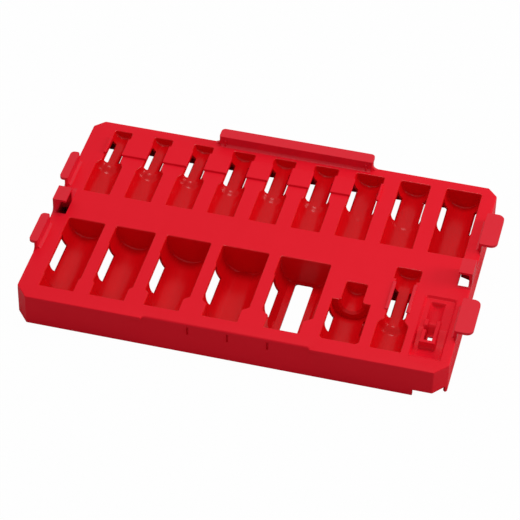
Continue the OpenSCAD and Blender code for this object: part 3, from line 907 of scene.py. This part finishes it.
@dataclass
class AdapterWell:
    """The adapter's shallow tray: its floor, its groove, its finger scoop and its U-shaped post.

    Places are distances from the well's left and front sides, and a box is left, right, front and
    back. The groove is a radius, a depth and a back end, the scoop a depth and the way it takes to
    rise beside the post, and the ramp its low end, its high end and its run.
    """

    front: float = 11.6
    length: float = 57.0
    floor: float = 1.5
    middle: float = 9.1
    groove: tuple[float, float, float] = (5.0, 3.5, 53.0)
    scoop: tuple[float, float] = (5.6, 22.0)
    post: tuple[float, float, float, float] = (3.9, 14.3, 13.8, 35.4)
    short_end: float = 26.0
    nib: float = 6.0
    hollow: tuple[float, float, float, float] = (6.7, 11.6, 16.6, 37.0)
    hole: tuple[float, float] = (17.0, 27.8)
    hole_side: float = 0.9
    ramp: tuple[float, float, float] = (-8.0, -2.4, 6.0)
    corner: float = 2.0
    rim: float = 1.1
    step: tuple[float, float] = (0.25, 0.4)
    blur: float = 0.35
    sunk: float = 0.02
    wall: float = 1.0
    nodes: tuple[str, ...] = ("adapter_tray", "adapter_post")

    def inside(self, x: np.ndarray, y: np.ndarray, box: Sequence[float]) -> np.ndarray:
        """Give the share of a box's full rise: it eases from 0 to 1 across the box's sides."""
        x_way, y_way = np.minimum(x - box[0], box[1] - x), np.minimum(y - box[2], box[3] - y)
        return ease((np.minimum(x_way, y_way) + self.blur / 2) / self.blur)

    def height(self, x: np.ndarray, y: np.ndarray) -> np.ndarray:
        """Give the surface's height.

        A lying cylinder cuts the groove into the floor. The scoop falls by a parabola from the
        front to the post and rises beside it by the eased step. The post stands on that up to the
        deck's top, and its hollow falls along a ramp to the hole. Every side rises over the blur's
        width by the eased step, and the rim over its own, round the corners' quarter circles.

        Args:
            x: Distances from the well's left side.
            y: Distances from its front side.

        Returns:
            The heights.
        """
        (r, deep, back), (depth, reach), (low, high, run) = self.groove, self.scoop, self.ramp
        near, far = self.post[2:]
        across = np.clip(r * r - (x - self.middle) ** 2, 0, None)
        groove = np.minimum(r - self.floor - deep - np.sqrt(across), -self.floor)
        groove = np.where(across > 0, groove, -self.floor)
        along = ease((back - y) / self.blur / 2) * ease((y - near) / self.blur)
        z = -self.floor + (groove + self.floor) * along
        bowl = -depth * (1 - (np.clip(near - y, 0, None) / near) ** 2)
        z = np.minimum(z, bowl * (1 - ease((y - near) / reach)))
        left_wall = ease((self.short_end - y) / self.blur) + ease((y - far + self.nib) / self.blur)
        z = z * (1 - self.inside(x, y, self.post) * np.where(x < self.middle, left_wall, 1.0))
        slope = low + (high - low) * ease((y - self.hole[1]) / run)
        z = z + (np.minimum(z, slope) - z) * self.inside(x, y, self.hollow)
        beside, ahead = np.minimum(x, TRAY.adapter_w - x), np.minimum(y, self.length - y)
        bend = self.corner - np.hypot(self.corner - beside, self.corner - ahead)
        in_corner = np.maximum(beside, ahead) < self.corner
        return z * ease(np.where(in_corner, bend, np.minimum(beside, ahead)) / self.rim)

    def build(self, finishes: Finishes) -> bpy.types.Object:
        """Make the well.

        Args:
            finishes: The materials.

        Returns:
            The piece.
        """
        left = TRAY.adapter_x() - TRAY.adapter_w / 2
        xs, ys = (np.linspace(0, size, round(size / step) + 1)
                  for size, step in zip((TRAY.adapter_w, self.length), self.step))
        x, y = np.meshgrid(xs, ys)
        z = self.height(x, y) - self.sunk
        surface = Surface()
        index = surface.add(np.stack([x + left, y + self.front, z], -1))
        mx, my = halfway(xs), halfway(ys)
        open_x = (mx > self.hollow[0] + self.hole_side) & (mx < self.hollow[1] - self.hole_side)
        open_y = (my > self.hole[0]) & (my < self.hole[1])
        surface.faces += quads(index, keep=~(open_y[:, None] & open_x))
        piece = new_piece("adapter_well", surface.mesh("adapter_well", False), Finish.DECK,
                          finishes, self.nodes, sharp=80.0)
        thicken(piece, self.wall, False)
        return piece


@dataclass(frozen=True)
class LabelRecess:
    """The strip of the front in which the deck's edge and the wall step back, round at its ends."""

    left: float = 84.0
    right: float = 193.0
    depth: float = 2.0
    corner: float = 2.4
    fade: float = 10.0

    def stations(self) -> np.ndarray:
        """Give the distances from the left at which the step's ends need a point."""
        turn = self.corner * (1 - np.cos(np.linspace(0, QUARTER, 8)))
        return np.concatenate([self.left + turn, self.right - turn[::-1]])

    def share(self, x: np.ndarray) -> np.ndarray:
        """Give how far the step has come: from 0 to 1 by a quarter circle at each end."""
        t = np.clip(np.minimum(x - self.left, self.right - x) / self.corner, 0, 1)
        return np.sqrt(1 - (1 - t) ** 2)

    def wall_share(self, x: np.ndarray) -> np.ndarray:
        """Give the wall's own share, which eases in and out over a longer way under the deck."""
        way = np.minimum(x - self.left, self.right - x) + self.fade
        return ease(way / (self.fade + self.corner))


LABEL = LabelRecess()


@dataclass
class FrontWall:
    """The front wall, with the label recess, its three blind slots and the notch in its foot.

    The slots' middles and the notch's sides are distances from the left, and the notch's last
    number is its height. A slot's columns are pairs of a place and how far it stands in. Columns
    stand a pitch apart in the plain runs, and fine ones by the ends of the label recess.
    """

    slots: tuple[float, ...] = (113.9, 139.8, 165.7)
    slot_z: tuple[float, float] = (-2.5, -8.2)
    slot_form: tuple[tuple[float, float], ...] = (
        (-1.1, 0.0), (-0.9, -0.45), (-0.35, -0.45), (-0.1, 1.3), (1.08, 1.3), (1.1, 0.0))
    slot_ease: float = 0.1
    notch: tuple[float, float, float] = (259.5, 278.9, 4.7)
    corner: float = 1.6
    plain: tuple[tuple[float, float], ...] = ((20, 72), (206, 258))
    pitch: float = 8.0
    fine: tuple[float, float] = (3.0, 1.0)
    middle_row: float = -12.5
    tuck: tuple[float, float] = (0.03, 0.05)
    nodes: tuple[str, ...] = ("front_wall", "label_channel")

    def path(self, cuts: np.ndarray) -> Loop:
        """Give the wall's outline.

        Args:
            cuts: The distances from the left at which the slots' columns stand.

        Returns:
            The points from left to right.
        """
        l, (cx, cy), (n0, n1, _) = TRAY.deck_len, TRAY.front_cut, self.notch
        turn = np.split(rounded([(0, cy), (cx, 0), (l - cx, 0), (l, cy)], self.corner), 4)
        ends = np.array([(0, cy), (n1, (n1 - (l - cx)) * cy / cx), (l, cy)], float)
        near_end = np.arange(-LABEL.fade, *self.fine)
        plain = [np.arange(a, b, self.pitch) for a, b in self.plain]
        flat = np.sort(np.concatenate([LABEL.left + near_end, LABEL.right - near_end, cuts, [n0],
                                       *plain]))
        flat = np.column_stack([flat, 0 * flat])
        return np.concatenate([ends[:1], turn[1], flat, turn[2], ends[1:]])

    def build(self, finishes: Finishes) -> bpy.types.Object:
        """Make the wall.

        Columns run along the front's outline and rows run down it. The recess's depth falls in a
        straight line from its full value under the deck to nothing at the foot. Between a slot's
        ends its columns stand out for its left cheek and then go in for its hollow. The inner face
        is the same grid without slots, moved in along the outline's normals by the wall's
        thickness.

        Args:
            finishes: The materials.

        Returns:
            The piece.
        """
        across, into = np.array(self.slot_form).T
        cuts = (np.array(self.slots)[:, None] + across).ravel()
        path = self.path(cuts)
        (top, foot), d, (n0, n1, n_h) = self.slot_z, self.slot_ease, self.notch
        z = np.array([self.tuck[1] - TRAY.deck_t, top, top - d, foot + d, foot, self.middle_row,
                      n_h - TRAY.body_h, -TRAY.body_h])
        fade = np.clip((z + TRAY.body_h) / (TRAY.body_h - TRAY.deck_t), 0, 1)
        lean = LABEL.depth * LABEL.wall_share(path[:, 0]) * fade[:, None]
        heights = np.broadcast_to(z[:, None], lean.shape)
        y = path[:, 1] + lean
        y[0] += self.tuck[0]
        near = np.abs(path[:, 0][:, None] - cuts).argmin(1)
        cut = np.isclose(path[:, 0], cuts[near])
        y[2:4] += np.where(cut, np.tile(into, len(self.slots))[near], 0.0)
        step = np.gradient(path, axis=0)
        step = step / np.linalg.norm(step, axis=1, keepdims=True)
        inner = path + np.column_stack([-step[:, 1], step[:, 0]]) * TRAY.wall_t
        surface = Surface()
        front, back = (
            surface.add(np.stack([np.broadcast_to(xs, lean.shape), ys, heights], -1))
            for xs, ys in ((path[:, 0], y), (inner[:, 0], inner[:, 1] + lean)))
        middle, level = halfway(path[:, 0]), halfway(z)
        keep = ~((middle > n0) & (middle < n1) & (level < n_h - TRAY.body_h)[:, None])
        surface.faces += quads(front, keep=keep) + quads(back, keep=keep) + rims(front, back, keep)
        return new_piece("front_wall_sheet", surface.mesh("front_wall_sheet", True), Finish.WALL,
                         finishes, self.nodes, sharp=20.0)


@dataclass
class DeckSheet:
    """The deck's plate, with a round outer edge and a soft-edged opening for the adapter's tray."""

    edge: float = 0.55
    label_edge: float = 1.4
    right_extra: float = 0.75
    corner: float = 1.6
    soft: float = 0.4
    tuck: float = 0.02
    run_out: float = 1.0
    adapter: tuple[float, float] = (11.6, 68.6)
    adapter_corner: float = 0.9
    nodes: tuple[str, ...] = ("deck", "front_rail", "rear_rail", "lower_front_lands",
                              "lower_back_lands", "upper_front_lands", "upper_back_lands")

    def outline(self) -> tuple[Loop, np.ndarray]:
        """Give the deck's outline, clockwise, with a notch round each side catch.

        Its front steps back along the label recess. A point's third number is 0 where the edge
        stays square, 1 where it is round and up to 2 where it has the label's radius.

        Returns:
            The points, and each one's edge radius.
        """
        l, d, b = TRAY.deck_len, TRAY.deck_depth, TRAY.back_cut
        cx, cy = TRAY.front_cut
        (low, high), w = TRAY.catch_band, TRAY.catch_w
        body = rounded([(0, cy), (0, d - b), (b, d), (l - b, d),
                        (l, d - b), (l, cy), (l - cx, 0), (cx, 0)], self.corner)
        left = [(0, low - self.run_out, 1), (0, low, 0), (w, low, 0), (w, high, 0), (0, high, 0),
                (0, high + self.run_out, 1)]
        right = [(l - x, y, e) for x, y, e in left[::-1]]
        x = LABEL.stations()[::-1]
        front = np.column_stack([x, LABEL.depth * LABEL.share(x), 1 + LABEL.share(x)])
        n = len(body) // 8
        body = np.column_stack([body, np.ones(len(body))])
        full = np.concatenate([body[:n], left, body[n:5 * n], right, body[5 * n:7 * n], front,
                               body[7 * n:]])
        deeper = (self.label_edge - self.edge) * np.clip(full[:, 2] - 1, 0, 1)
        rounder = self.right_extra * ease((full[:, 0] - (l - cx)) / cx)
        return full[:, :2], np.where(full[:, 2] > 0, self.edge + deeper + rounder, 0.0)

    def build(self, mouths: Sequence[Loop], finishes: Finishes) -> bpy.types.Object:
        """Make the plate.

        Its outer edge is a quarter circle, carried round the outline and drawn in to nothing at the
        catches. The adapter's opening has a smaller quarter circle, carried round its loop. A
        pocket's opening is cut straight, because its liner holds the rim.

        Args:
            mouths: The loops where the pockets' rims meet the deck's top.
            finishes: The materials.

        Returns:
            The piece.
        """
        surface = Surface()
        path, edge = self.outline()
        turn = np.linspace(0, QUARTER, 7)[:, None]
        inset = np.concatenate([edge * (1 - np.sin(turn)), np.zeros((2, len(path)))])
        z = np.concatenate([edge * (np.cos(turn) - 1), -edge[None] - self.tuck,
                            np.full((1, len(path)), -TRAY.deck_t)])
        ring = np.concatenate([path - mitres(path) * inset[..., None], z[..., None]], -1)
        surface.faces += quads(surface.add(ring), closed=True)
        x, half, (a, b) = TRAY.adapter_x(), TRAY.adapter_w / 2, self.adapter
        loop = rounded([(x - half, a), (x - half, b), (x + half, b), (x + half, a)],
                       self.adapter_corner)
        away = self.soft * (1 - np.sin(turn))
        fall = np.broadcast_to(self.soft * (np.cos(turn) - 1), (len(turn), len(loop)))
        rows = np.concatenate([loop + mitres(loop) * away[..., None], fall[..., None]], -1)
        under = np.column_stack([loop, np.full(len(loop), -TRAY.deck_t)])
        surface.faces += quads(surface.add(np.concatenate([rows, under[None]])), closed=True)
        for mouth in mouths:
            cut = np.stack([np.column_stack([mouth, np.full(len(mouth), h)])
                            for h in (0.0, -TRAY.deck_t)])
            surface.faces += quads(surface.add(cut), closed=True)
        surface.add_sheet(ring[0, :, :2], [*mouths, rows[0, :, :2]], 0.0)
        surface.add_sheet(ring[-1, :, :2], [*mouths, loop], -TRAY.deck_t)
        return new_piece("deck_sheet", surface.mesh("deck_sheet", True), Finish.DECK, finishes,
                         self.nodes, sharp=25.0)


@dataclass
class SoftEdged:
    """A CAD node's own form, with its free edges rounded off."""

    node: str
    width: float = 0.4
    above: float = 0.02
    sunk: float = 0.0
    drawn_in: tuple[float, float] = (0.0, 0.0)
    # The edge finish paints shade: its red is darker than the deck's.
    finish: Finish = Finish.EDGE
    flat: float = 0.6
    keen: float = 35.0
    segments: int = 3

    def build(self, finishes: Finishes) -> bpy.types.Object:
        """Make the piece.

        A copy of the node's mesh is merged, its flat faces are joined, and its sharp edges above a
        height are marked for a Bevel. A hook's foot then goes down into the deck, out of sight.

        Args:
            finishes: The materials.

        Returns:
            The piece.
        """
        form = bmesh.new()
        form.from_mesh(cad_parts[self.node].data)
        bmesh.ops.remove_doubles(form, verts=form.verts, dist=MERGE)
        bmesh.ops.dissolve_limit(form, angle_limit=math.radians(self.flat), verts=form.verts,
                                 edges=form.edges, delimit={"NORMAL"})
        mesh = bpy.data.meshes.new(self.node + "_soft")
        form.to_mesh(mesh)
        form.free()
        marks = mesh.attributes.new("bevel_weight_edge", "FLOAT", "EDGE")
        marks.data.foreach_set("value", self.weights(mesh))
        if self.sunk:
            at = read(mesh.vertices, "co", np.float32, 3)
            foot = np.abs(at[:, 2] - TRAY.body_h * MM) < MERGE
            at[foot] += np.array([*self.drawn_in, -self.sunk], np.float32) * MM
            mesh.vertices.foreach_set("co", at.ravel())
            mesh.update()
        piece = new_piece(self.node + "_soft", mesh, self.finish, finishes, [self.node])
        bevel = piece.modifiers.new("soft", "BEVEL")
        bevel.limit_method = "WEIGHT"
        bevel.width = self.width * MM
        bevel.segments = self.segments
        bevel.use_clamp_overlap = True
        bevel.harden_normals = True
        return piece

    def weights(self, mesh: bpy.types.Mesh) -> np.ndarray:
        """Give each edge's weight for the Bevel.

        It is 1 where both ends lie above the height and the edge's two faces meet at a keen angle,
        the arc cosine of their normals' product, and 0 elsewhere.

        Args:
            mesh: The copy's mesh.

        Returns:
            One weight an edge.
        """
        height = read(mesh.vertices, "co", np.float32, 3)[:, 2]
        ends = read(mesh.edges, "vertices", np.int32, 2)
        free = (height[ends] > (self.above + TRAY.body_h) * MM).all(1)
        edge = read(mesh.loops, "edge_index", np.int32)
        turns = read(mesh.polygons, "loop_total", np.int32)
        normal = np.repeat(read(mesh.polygons, "normal", np.float32, 3), turns, axis=0)
        normal = normal[np.argsort(edge, kind="stable")]
        count = np.bincount(edge, minlength=len(ends))
        pair = np.flatnonzero(count == 2)
        first = (np.cumsum(count) - count)[pair]
        meet = np.arccos(np.clip((normal[first] * normal[first + 1]).sum(1), -1, 1))
        weight = np.zeros(len(ends), np.float32)
        weight[pair] = free[pair] & (meet > math.radians(self.keen))
        return weight


def soft_edged() -> list[SoftEdged]:
    """List the forms that keep their solid's shape.

    Returns:
        The hooked edges, the catches and the small raised forms.
    """
    tabs = [SoftEdged(f"{side}_{end}_tab", sunk=1.4, drawn_in=(pull, 0.0))
            for side, pull in (("left", 0.05), ("right", -0.05)) for end in ("rear", "front")]
    return [
        *tabs,
        SoftEdged("rear_lip", sunk=1.4, drawn_in=(0.0, -0.05)),
        SoftEdged("left_catch"),
        SoftEdged("right_catch"),
        SoftEdged("grip_pads", width=0.25, finish=Finish.DECK),
        SoftEdged("extension_rims", width=0.25),
    ]


# ---- studio


@dataclass(frozen=True)
class PhotoCamera:
    """The photograph's viewpoint, fitted to the straight edges of the tray's deck."""

    azimuth: float = 13.398
    elevation: float = 42.172
    roll: float = 1.251
    focal_px: float = 2482.6
    place: tuple[float, float, float] = (0.27542, -1.17553, 1.09744)
    sensor: float = 36.0
    clip: tuple[float, float] = (0.05, 20.0)

    def make(self) -> bpy.types.Object:
        """Create the camera and make it the scene's.

        Returns:
            The camera object.
        """
        a, e, r = (math.radians(v) for v in (self.azimuth, self.elevation, self.roll))
        back = Vector((math.sin(a) * math.cos(e), -math.cos(a) * math.cos(e), math.sin(e)))
        right = Vector((0, 0, 1)).cross(back).normalized()
        up = back.cross(right)
        x = right * math.cos(r) + up * math.sin(r)
        y = up * math.cos(r) - right * math.sin(r)
        data = bpy.data.cameras.new("photo_camera")
        data.sensor_width = self.sensor
        data.lens = self.focal_px / IMAGE_WIDTH * self.sensor
        data.clip_start, data.clip_end = self.clip
        camera = linked("photo_camera", data)
        turn = Matrix((x, y, back)).transposed()
        camera.matrix_world = Matrix.Translation(Vector(self.place)) @ turn.to_4x4()
        bpy.context.scene.camera = camera
        return camera


@dataclass(frozen=True)
class Softbox:
    """A square lamp that points at the tray."""

    name: str
    place: tuple[float, float, float]
    size: float
    watts: float

    def make(self) -> None:
        """Hang the lamp."""
        data = bpy.data.lights.new(self.name, "AREA")
        data.size, data.energy = self.size, self.watts
        lamp = linked(self.name, data)
        lamp.location = self.place
        lamp.rotation_euler = (-Vector(self.place)).to_track_quat("-Z", "Y").to_euler()


@dataclass(frozen=True)
class Studio:
    """A pale floor, an even sky and soft lamps."""

    floor_half: float = 4.0
    sky: float = 0.53
    floor_glow: float = 0.985
    floor_matt: float = 0.44
    lamps: tuple[Softbox, ...] = (
        Softbox("top_box", (0.1, 0.35, 1.3), 0.5, 6.0),
        Softbox("right_box", (1.1, 0.25, 0.4), 0.5, 5.0),
    )

    def make(self) -> None:
        """Lay the floor, light the sky and hang the lamps."""
        h = self.floor_half
        mesh = bpy.data.meshes.new("floor")
        mesh.from_pydata([(-h, -h, 0), (h, -h, 0), (h, h, 0), (-h, h, 0)], [], [(0, 1, 2, 3)])
        floor = linked("floor", mesh)
        mesh.materials.append(self.floor_paint())
        world = bpy.data.worlds.new("sky")
        bpy.context.scene.world = world
        s = Shader(world)
        seen = s.node("ShaderNodeLightPath", {}, {}, "Is Camera Ray")
        glow = s.node("ShaderNodeBackground", {},
                      {"Color": WHITE, "Strength": seen * (1.0 - self.sky) + self.sky})
        s.node("ShaderNodeOutputWorld", {}, {"Surface": glow})
        for lamp in self.lamps:
            lamp.make()

    def floor_paint(self) -> bpy.types.Material:
        """Make the floor's paint: matt white, and mostly its own white where the camera sees it.

        Returns:
            The material.
        """
        paint = bpy.data.materials.new("floor_paint")
        s = Shader(paint)
        seen = s.node("ShaderNodeLightPath", {}, {}, "Is Camera Ray")
        matt = s.node("ShaderNodeBsdfDiffuse", {}, {"Color": (*[self.floor_matt] * 3, 1.0)})
        white = s.node("ShaderNodeEmission", {}, {"Color": WHITE, "Strength": 1.0})
        both = s.node("ShaderNodeMixShader", {}, {0: seen * self.floor_glow, 1: matt, 2: white})
        s.node("ShaderNodeOutputMaterial", {}, {"Surface": both})
        return paint


def main() -> None:
    """Build the tray's skin, finish what stays of the frame and set up the studio."""
    PhotoCamera().make()
    finishes = Finishes()
    pockets = SocketRows().liners() + ToolPockets().liners()
    mouths = [liner.build(finishes) for liner in pockets]
    DeckSheet().build(mouths, finishes)
    FrontWall().build(finishes)
    AdapterWell().build(finishes)
    for form in soft_edged():
        form.build(finishes)
    for name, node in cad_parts.items():
        if not node.hide_render:
            finishes.dress(node, Finish.WALL)
            LOG.info("%s: its own form, in the wall's finish", name)
    Studio().make()
    bpy.context.scene.view_settings.view_transform = "Standard"


if __name__ == "__main__":
    main()
